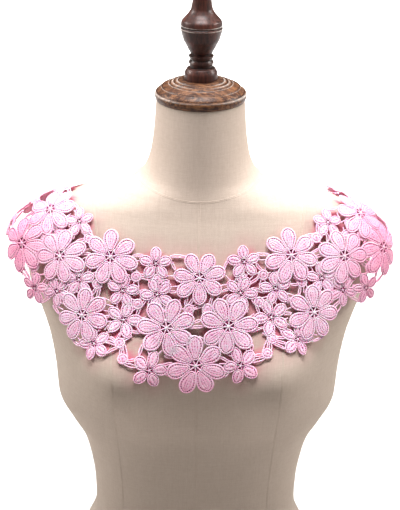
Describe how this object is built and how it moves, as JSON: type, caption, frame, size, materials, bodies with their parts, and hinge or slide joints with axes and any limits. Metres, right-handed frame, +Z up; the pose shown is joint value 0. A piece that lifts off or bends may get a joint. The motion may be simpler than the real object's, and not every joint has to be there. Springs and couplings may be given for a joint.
{
  "type": "lace neckline applique on a dress form",
  "caption": "Floral guipure lace neckline draped over the chest and shoulders of a linen-covered dress form with a turned wooden neck cap and finial.",
  "frame": {"origin": "on the underside of the base board, below the middle of the neck", "axes": "+Z up; the front of the form and the point of the lace face -Y; +X is the wearer's left"},
  "size_m": [0.4127, 0.236, 0.8475],
  "materials": {
    "lace": "pink machine-embroidered guipure lace with raised satin stitches",
    "linen": "plain-woven natural linen stretched over a padded form",
    "base_wood": "stained board, matt",
    "dark_wood": "turned hardwood, dark walnut stain, polished"
  },
  "bodies": {
    "root": {"lace_front": "lace", "lace_left": "lace", "lace_right": "lace", "form_torso": "linen", "form_base": "base_wood", "neck_cap": "dark_wood", "finial": "dark_wood"}
  },
  "joints": []
}
